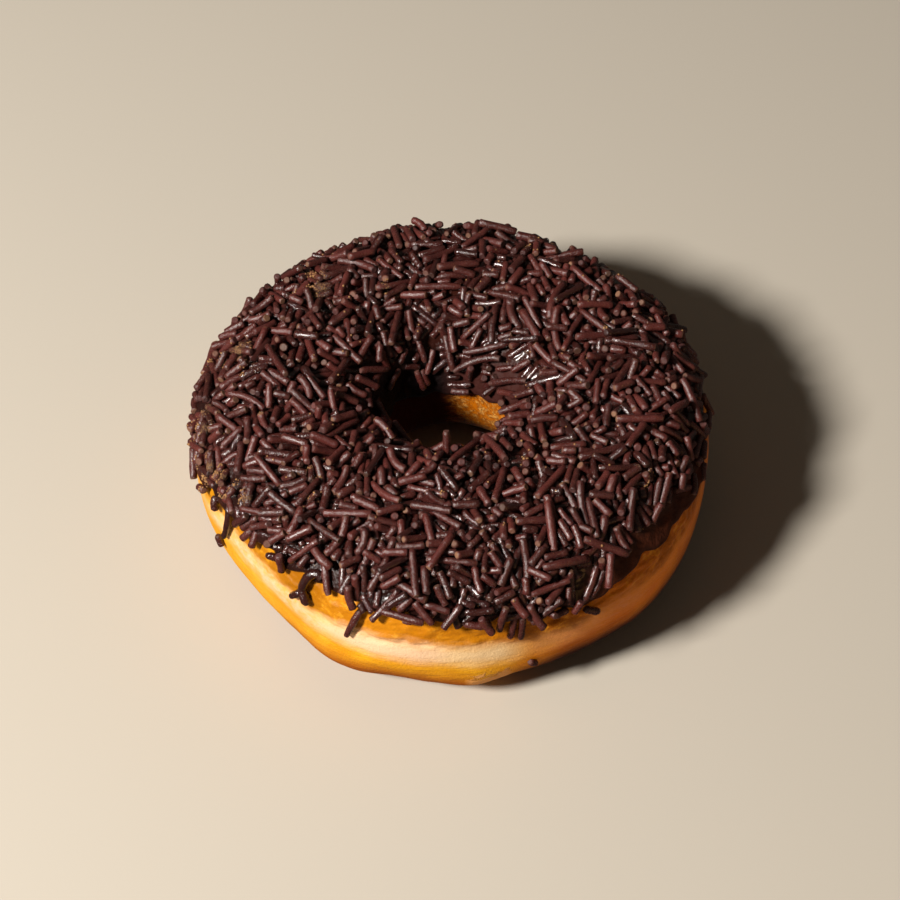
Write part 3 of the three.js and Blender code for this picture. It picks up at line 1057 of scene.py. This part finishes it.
def roll_of_height(height):
    """The roll on the outer side at a height, above the belly or below it."""
    belly = RING["Belly Height"]
    if height >= belly:
        up = (height - belly) / (RING["Dough Height"] - belly)
        return math.asin(up ** (RING["Top Roundness"] / 2))
    down = (belly - height) / (belly + RING["Flattening"])
    return -math.asin(down ** (RING["Base Roundness"] / 2))


def smooth_line(places, count):
    """Points along a smooth line through three or four places."""
    knots = np.linspace(0, 1, len(places))
    wanted = np.linspace(0, 1, count)
    places = np.array(places, float)
    fit = [np.polynomial.polynomial.polyfit(knots, places[:, c], len(places) - 1) for c in range(3)]
    return np.stack([np.polynomial.polynomial.polyval(wanted, part) for part in fit], -1)


def single_lines():
    """Each single sprinkle's or drip's points, radius and wetness."""
    lines = []
    for on_dough, group in ((True, STRAYS), (True, DRIPS), (False, HOLE_STRAYS)):
        for line, radius, wetness in group:
            if on_dough:
                spots = [
                    ring_point(RING, math.radians(turn), roll_of_height(height), lift)
                    for turn, height, lift in line
                ]
            else:
                spots = [(*around(turn, reach), height) for turn, reach, height in line]
            lines.append((smooth_line(spots, LINE_POINTS), radius, wetness))
    return lines


def clear_of_singles(sticks):
    """Which sprinkles leave room for the single ones."""
    share = np.linspace(-1, 1, LINE_POINTS)[None, :, None]
    points = (
        sticks["centre"][:, None]
        + sticks["axis"][:, None] * share * (sticks["length"] / 2)[:, None, None]
        + sticks["side"][:, None] * (share ** 2 - 1 / 3) * sticks["bend"][:, None, None]
    )
    clear = np.ones(len(points), bool)
    # The first two points of a single one may be hidden under the others.
    for line, radius, _ in single_lines():
        away = np.linalg.norm(points[:, :, None] - line[None, None, 2:], axis=-1).min((1, 2))
        clear &= away > radius + sticks["radius"] + CLEARANCE
    return clear


def clear_of_pools(centre):
    """Which sprinkles leave the bare pools free."""
    clear = np.ones(len(centre), bool)
    for turn, radius, half_width in POOLS:
        x, y = around(turn, radius)
        clear &= np.hypot(centre[:, 0] - x, centre[:, 1] - y) > half_width
    return clear


random = np.random.default_rng(SEED)
sticks = settle(scatter(SPRINKLE_COUNT, random), SETTLE_STEPS)
resting = (sticks["lift"] < HIGHEST) & (sticks["overhang"] < OVERHANG)
resting &= clear_of_singles(sticks) & clear_of_pools(sticks["centre"])
sticks = {name: values[resting] for name, values in sticks.items()}


# ---- Sprinkles as meshes ----

DUST_REACH = 1.3  # of a patch's cover, in spreads
DUST_HEIGHTS = (1.4, 2.2)  # over the dough, between which dust begins to lie and lies whole
BEVEL = 0.26  # length of a cut end's bevel, in radii
UNEVEN = (0.93, 1.06)  # thickness along a sprinkle, in radii
CUT_ENDS = (0.55, 0.8)
DEEP_LIFT, DEEP_FADE = 1.5, 1.6  # up to what lift a sprinkle low in the heap gets painted shade and icing wets it, and how far up that fades
DEEP_SHADE_AND_WETNESS, SWELL_WETNESS = 0.7, 0.8
# Swells of icing, as waves over the ring: [radians in a millimetre of x and of y, and at the middle]
SWELLS = [(0.21, 0, 1.1), (0, 0.24, 0.4), (0.31, -0.31, 0)]
SWELL_FOOT = 0.9  # height of their sum from which they wet the sprinkles
WET_SHARE = 0.06  # of the sprinkles, wherever they lie
CUT_MEAN, CUT_SPREAD = 0.1, 0.35  # how pale the cut ends are
SINGLE_UNEVEN = (0.92, 1.06)
SINGLE_END, SINGLE_SHOULDER = 0.7, 0.98  # thickness of its last point, and of the one before
SINGLE_DUST = 0.6


def dust_at(points):
    """How much dust lies at each point, from 0 to 1."""
    x, y = points[..., 0] - RING_CENTRE[0], points[..., 1] - RING_CENTRE[1]
    cover = 0.0 * x
    for turn, radius, spread, _, most_dust in DUST_PATCHES:
        a = math.radians(turn)
        away = np.hypot(x - radius * math.cos(a), y - radius * math.sin(a)) / (DUST_REACH * spread)
        cover = np.maximum(cover, most_dust * np.exp(-(away ** 2)))
    lift = locate(points.reshape(-1, 3))[2].reshape(x.shape)
    low, high = DUST_HEIGHTS
    return cover * np.clip((lift - low) / (high - low), 0, 1)


def point_mesh(name, points, edges, **values):
    """A mesh of points and edges, from millimetres, with a number at each point by each name."""
    mesh = bpy.data.meshes.new(name)
    mesh.from_pydata((np.reshape(points, (-1, 3)) * MM).tolist(), edges, [])
    for label, numbers in values.items():
        attribute = mesh.attributes.new(label, "FLOAT", "POINT")
        attribute.data.foreach_set("value", np.asarray(numbers, np.float32).ravel())
    return mesh


def sprinkle_lines(sticks, chosen, middle_rings, random):
    """The chosen sprinkles as lines of points, with what the finish needs. End points make cut ends."""
    count = len(chosen)
    half, radius = sticks["length"][chosen] / 2, sticks["radius"][chosen]
    bevel = (BEVEL * radius / half)[:, None]
    inner = np.linspace(-1, 1, middle_rings + 2)[None, 1:-1] + 0 * bevel
    share = np.concatenate([-1 + 0 * bevel, bevel - 1, inner, 1 - bevel, 1 + 0 * bevel], 1)
    rings = share.shape[1]
    bend = sticks["bend"][chosen][:, None]
    place = (
        sticks["centre"][chosen][:, None]
        + sticks["axis"][chosen][:, None] * (share * half[:, None])[..., None]
        + sticks["side"][chosen][:, None] * (bend * (share ** 2 - 1 / 3))[..., None]
    )
    thick = radius[:, None] * random.uniform(*UNEVEN, (count, rings))
    thick[:, [0, -1]] = radius[:, None] * random.uniform(*CUT_ENDS, (count, 2))
    end = np.zeros((count, rings))
    end[:, [0, -1]] = 1
    tone = np.repeat(random.random(count), rings)
    cut = np.repeat(np.clip(random.normal(CUT_MEAN, CUT_SPREAD, count), 0, 1), rings)
    # sprinkles low in the heap get painted shade along with the icing that wets them
    deep_shade = 1 - np.clip((sticks["lift"][chosen] - DEEP_LIFT) / DEEP_FADE, 0, 1)
    # The icing wets the sprinkles in broad swells.
    x, y = sticks["centre"][chosen, 0], sticks["centre"][chosen, 1]
    swell = sum(np.sin(x * per_x + y * per_y + start) for per_x, per_y, start in SWELLS)
    swell = np.clip(swell - SWELL_FOOT, 0, 1)
    wet = deep_shade * DEEP_SHADE_AND_WETNESS + swell * random.random(count) * SWELL_WETNESS
    wet = wet + (random.random(count) < WET_SHARE)
    wet = np.repeat(np.clip(wet, 0, 1), rings)
    points = np.arange(count * rings).reshape(count, rings)
    edges = np.stack([points[:, :-1].ravel(), points[:, 1:].ravel()], 1).tolist()
    return point_mesh(
        "sprinkle_lines", place, edges,
        thick=thick * MM, end=end, tone=tone, cut=cut, wet=wet, dust=dust_at(place),
    )


def sprinkle_tree():
    tree = Tree(
        "sprinkles_from_lines", {"Sides": 10, "Unevenness": 0.14, "Sprinkle Material": SPRINKLE_PAINT}
    )
    line = tree.node("GeometryNodeMeshToCurve", {"Mesh": tree.start.outputs["Geometry"]})
    thick = tree.node("GeometryNodeInputNamedAttribute", {"Name": "thick"}, data_type="FLOAT")
    ring = tree.node(
        "GeometryNodeCurvePrimitiveCircle", {"Resolution": tree.given("Sides"), "Radius": 1.0}
    )
    stick = tree.node(
        "GeometryNodeCurveToMesh",
        {"Curve": line.outputs[0], "Profile Curve": ring.outputs[0],
         "Scale": thick.outputs[0], "Fill Caps": True},
    )
    lumpy = tree.lumpy(stick.outputs[0], 0.8, tree.given("Unevenness"))
    tree.end(tree.lumpy(lumpy, 2.0, tree.given("Unevenness") * 0.5), "Sprinkle Material")
    return tree


SPRINKLES = sprinkle_tree()
short = sticks["length"] < SHORT
curved = (np.abs(sticks["bend"]) >= CURVED) & ~short
sprinkle_pieces = [
    make_piece(name, SPRINKLES, sprinkle_lines(sticks, np.flatnonzero(chosen), rings, random))
    for name, chosen, rings in (
        ("straight_sprinkles", ~short & ~curved, 4),
        ("short_sprinkles", short, 2),
        ("curved_sprinkles", curved, 6),
    )
]


def single_sprinkles(random):
    """The strays and drips as one mesh of lines, with the same attributes as the others."""
    places, thick, end, tone, cut, wet, edges = [], [], [], [], [], [], []
    for points, radius, wetness in single_lines():
        rings, first = len(points), len(thick)
        places += points.tolist()
        profile = random.uniform(*SINGLE_UNEVEN, rings)
        profile[[0, -1]] = SINGLE_END
        profile[[1, -2]] *= SINGLE_SHOULDER
        thick += (profile * radius * MM).tolist()
        end += [1] + [0] * (rings - 2) + [1]
        tone += [random.random()] * rings
        cut += [CUT_MEAN] * rings
        wet += [wetness] * rings
        edges += [(first + k, first + k + 1) for k in range(rings - 1)]
    return point_mesh(
        "single_sprinkle_lines", places, edges,
        thick=thick, end=end, tone=tone, cut=cut, wet=wet, dust=dust_at(np.array(places)) * SINGLE_DUST,
    )


strays = make_piece("stray_sprinkles_and_drips", SPRINKLES, single_sprinkles(random))


# ---- Icing ----

LAID = dict(zip(("Straight Sprinkles", "Short Sprinkles", "Curved Sprinkles"), sprinkle_pieces))
TOP_SHARE = 0.84  # of the section's steps, over the top. The others go back along the underside.
SECTION_RADIUS = 17.5  # of the icing's section, about
SUNK = 0.3  # how far the icing's underside is in the dough


def icing_tree():
    tree = Tree("poured_icing", {
        **RING, "Turn Steps": 500, "Section Steps": 190, "Thickness": ICING_THICKNESS,
        "Edge Width": 1.3, "Ripple Height": 0.32, "Pool Depth": 0.25, "Climb": 0.22, "Climb Reach": 0.35,
        **LAID, "Icing Material": ICING_PAINT,
    })
    size = tree.sizes()
    grid, turn, progress = tree.unwrapped_grid("Turn Steps", "Section Steps")
    outer_roll, inner_roll = icing_rolls(size, turn)
    back = greater(progress, TOP_SHARE)
    going = (1.0 - cos(clamp(progress / TOP_SHARE) * math.pi)) / 2.0
    coming = 1.0 - clamp((progress - TOP_SHARE) / (1.0 - TOP_SHARE))
    share = mix(going, coming, back)
    roll = mix(outer_roll, inner_roll, share)
    x, y, z = ring_point(size, turn, roll, 0.0)
    width = (inner_roll - outer_roll) * SECTION_RADIUS
    rise = clamp(least(share, 1.0 - share) * width / tree.given("Edge Width"))
    rounded = root(1.0 - (1.0 - rise) * (1.0 - rise))
    ripples = tree.noise(x, y, z, 0.33, 3.0) + tree.noise(x, y, z, 1.0, 2.0) * 0.35
    pools = smooth_step(tree.noise(x, y, z, 0.11, 2.0), 0.0, 0.16) * tree.given("Pool Depth")
    top = rounded * (tree.given("Thickness") + ripples * tree.given("Ripple Height") * 2.0 + pools)
    # The icing climbs a little up each sprinkle that it touches.
    x, y, z = ring_point(size, turn, roll, top)
    near = tree.node("GeometryNodeProximity", {
        0: tree.objects(*LAID),
        "Sample Position": tree.vector(x * MM, y * MM, z * MM),
    })
    away = Field(tree.tree, near.outputs["Distance"]) / MM / tree.given("Climb Reach")
    top = top + rounded * exponential(-(away * away)) * tree.given("Climb")
    lift = mix(top, -SUNK * rounded, back)
    x, y, z = ring_point(size, turn, roll, lift)
    tree.end(tree.placed(grid, x, y, z), "Icing Material")
    return tree


icing = make_piece("poured_chocolate_icing", icing_tree())


# ---- Crumbs: dry dust in a few clusters and single specks, on whatever lies highest ----

SINGLE_CRUMBS = 260
SINGLE_ROLLS = (0.6, 2.5)  # between which they lie, in radians
CLUMP_SIZE, CLUMP_SPREAD = 14, 0.3  # crumbs in a clump, and how far apart
CLUMPED_ROOTS, SINGLE_ROOTS = (0.24, 0.48), (0.2, 0.5)  # square roots of the crumbs' radii
FALL_START, LONGEST_FALL = 6.0, 8  # how high over the dough crumbs start, and how far they can fall
FULL_SPIN = (6.28, 6.28, 6.28)  # largest turn on each axis, in radians
CRUMB_LUMPS = 0.05


def crumb_starts(random):
    """Points above the icing that crumbs fall from, with the way down and the size of each."""
    turn, roll, size = [], [], []
    outer, inner = RING["Belly Radius"] / 2, RING["Hole Radius"] / 2
    middle, half = outer + inner, outer - inner
    for at, radius, spread, count, _ in DUST_PATCHES:
        clumps = random.normal(0, spread, (1 + count // CLUMP_SIZE, 2))
        crumb = clumps[random.integers(0, len(clumps), count)]
        crumb = crumb + random.normal(0, CLUMP_SPREAD, (count, 2))
        out = radius + crumb[:, 0]
        turn.append(math.radians(at) + crumb[:, 1] / radius)
        across = np.clip((out - middle) / half, -0.98, 0.98)
        roll.append(np.arccos(signed_power(across, RING["Top Roundness"] / 2)))
        size.append(random.uniform(*CLUMPED_ROOTS, count) ** 2)
    turn.append(random.uniform(0, 2 * np.pi, SINGLE_CRUMBS))
    roll.append(random.uniform(*SINGLE_ROLLS, SINGLE_CRUMBS))
    size.append(random.uniform(*SINGLE_ROOTS, SINGLE_CRUMBS) ** 2)
    turn, roll, size = (np.concatenate(part) for part in (turn, roll, size))
    start, normal = points_over_ring(turn, roll, FALL_START)
    mesh = point_mesh("crumb_starts", start, [], size=size * MM)
    down = mesh.attributes.new("down", "FLOAT_VECTOR", "POINT")
    down.data.foreach_set("vector", (-normal).astype(np.float32).ravel())
    return mesh


def crumb_tree():
    tree = Tree("fallen_crumbs", {
        **LAID, "Poured Icing": icing, "Crumb Material": CRUMB_PAINT, "Seed": 5,
    })
    ground = tree.objects(*LAID, "Poured Icing")
    down = tree.node("GeometryNodeInputNamedAttribute", {"Name": "down"}, data_type="FLOAT_VECTOR")
    size = tree.node("GeometryNodeInputNamedAttribute", {"Name": "size"}, data_type="FLOAT")
    fall = tree.node("GeometryNodeRaycast", {
        "Target Geometry": ground, "Ray Direction": down.outputs[0], "Ray Length": LONGEST_FALL * MM,
    })
    landed = tree.node("GeometryNodeSetPosition", {
        "Geometry": tree.start.outputs["Geometry"], "Position": fall.outputs["Hit Position"],
    })
    grain = tree.node("GeometryNodeMeshIcoSphere", {"Radius": 1.0, "Subdivisions": 1})
    spin = tree.node("FunctionNodeRandomValue", {"Seed": tree.given("Seed")}, data_type="FLOAT_VECTOR")
    spin.inputs["Max"].default_value = FULL_SPIN
    crumbs = tree.node("GeometryNodeInstanceOnPoints", {
        "Points": landed.outputs[0], "Selection": fall.outputs["Is Hit"], "Instance": grain.outputs[0],
        "Rotation": spin.outputs[0], "Scale": size.outputs[0],
    })
    real = tree.node("GeometryNodeRealizeInstances", {"Geometry": crumbs.outputs[0]})
    tree.end(tree.lumpy(real.outputs[0], 5.0, CRUMB_LUMPS), "Crumb Material")
    return tree


crumbs = make_piece("dry_crumbs", crumb_tree(), crumb_starts(random))


# ---- What each piece rides on and stands for ----

for piece, node, slot in (
    (dough, "dough_ring", "dough"),
    (icing, "chocolate_icing", "icing"),
    *((piece, "chocolate_icing", "icing") for piece in (*sprinkle_pieces, strays)),
):
    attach(piece, "root")
    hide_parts(node)
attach(crumbs, "root")


# ---- Floor, light and camera ----

# Lengths are in metres here, and turns in degrees.
FLOOR_HALF = 3.0
FLOOR_COLOUR, FLOOR_ROUGHNESS = (0.48, 0.43, 0.36, 1), 0.8
ROOM_COLOUR, ROOM_STRENGTH = (1, 0.88, 0.74, 1), 0.058
# [name, turn, elevation, distance, size, watts, colour]
LIGHTS = [
    ("key", 210, 42.5, 0.9, 0.17, 15.5, (1, 0.965, 0.91)),
    ("warm_bounce", 318, 6, 0.7, 0.3, 0.28, (1, 0.5, 0.16)),
]
# And in millimetres here.
LENS, SENSOR_WIDTH = 90, 36
LOOK_DOWN, CAMERA_ROLL, CAMERA_DISTANCE = 50.5, 2.9, 408.4
CAMERA_TARGET = (0.45, -0.85, 15)
CAMERA_SHIFT = (-0.33, -0.53)  # to its right and upward


def plane(name, half):
    mesh = bpy.data.meshes.new(name)
    corners = [(-half, -half, 0), (half, -half, 0), (half, half, 0), (-half, half, 0)]
    mesh.from_pydata(corners, [], [(0, 1, 2, 3)])
    thing = bpy.data.objects.new(name, mesh)
    bpy.context.scene.collection.objects.link(thing)
    return thing


floor = plane("floor", FLOOR_HALF)
floor_paint = bpy.data.materials.new("pale_floor")
floor_paint.use_nodes = True
floor_shader = floor_paint.node_tree.nodes["Principled BSDF"]
floor_shader.inputs["Base Color"].default_value = FLOOR_COLOUR
floor_shader.inputs["Roughness"].default_value = FLOOR_ROUGHNESS
floor.data.materials.append(floor_paint)
floor.visible_glossy = False

world = bpy.data.worlds.new("soft_room")
world.use_nodes = True
background = world.node_tree.nodes["Background"]
background.inputs["Color"].default_value = ROOM_COLOUR
background.inputs["Strength"].default_value = ROOM_STRENGTH
bpy.context.scene.world = world


def area_light(name, turn, elevation, distance, size, watts, colour):
    """A round light that shines on the origin."""
    light = bpy.data.lights.new(name, "AREA")
    light.shape = "DISK"
    light.size, light.energy, light.color = size, watts, colour
    thing = bpy.data.objects.new(name, light)
    a, e = math.radians(turn), math.radians(elevation)
    toward = Vector((math.cos(a) * math.cos(e), math.sin(a) * math.cos(e), math.sin(e)))
    thing.matrix_world = (
        Matrix.Translation(toward * distance) @ toward.to_track_quat("Z", "Y").to_matrix().to_4x4()
    )
    bpy.context.scene.collection.objects.link(thing)


for light in LIGHTS:
    area_light(*light)

camera_data = bpy.data.cameras.new("camera")
camera_data.lens, camera_data.sensor_width = LENS, SENSOR_WIDTH
camera = bpy.data.objects.new("camera", camera_data)
bpy.context.scene.collection.objects.link(camera)
bpy.context.scene.camera = camera
down, roll = math.radians(LOOK_DOWN), math.radians(CAMERA_ROLL)
ahead = Vector((0, math.cos(down), -math.sin(down)))
across = Vector((1, 0, 0))
upward = across.cross(ahead)
right = across * math.cos(roll) - upward * math.sin(roll)
above = across * math.sin(roll) + upward * math.cos(roll)
aside = right * CAMERA_SHIFT[0] + above * CAMERA_SHIFT[1]
spot = (Vector(CAMERA_TARGET) - ahead * CAMERA_DISTANCE + aside) * MM
camera.matrix_world = Matrix.Translation(spot) @ Matrix((right, above, -ahead)).transposed().to_4x4()
bpy.context.scene.view_settings.view_transform = "Standard"
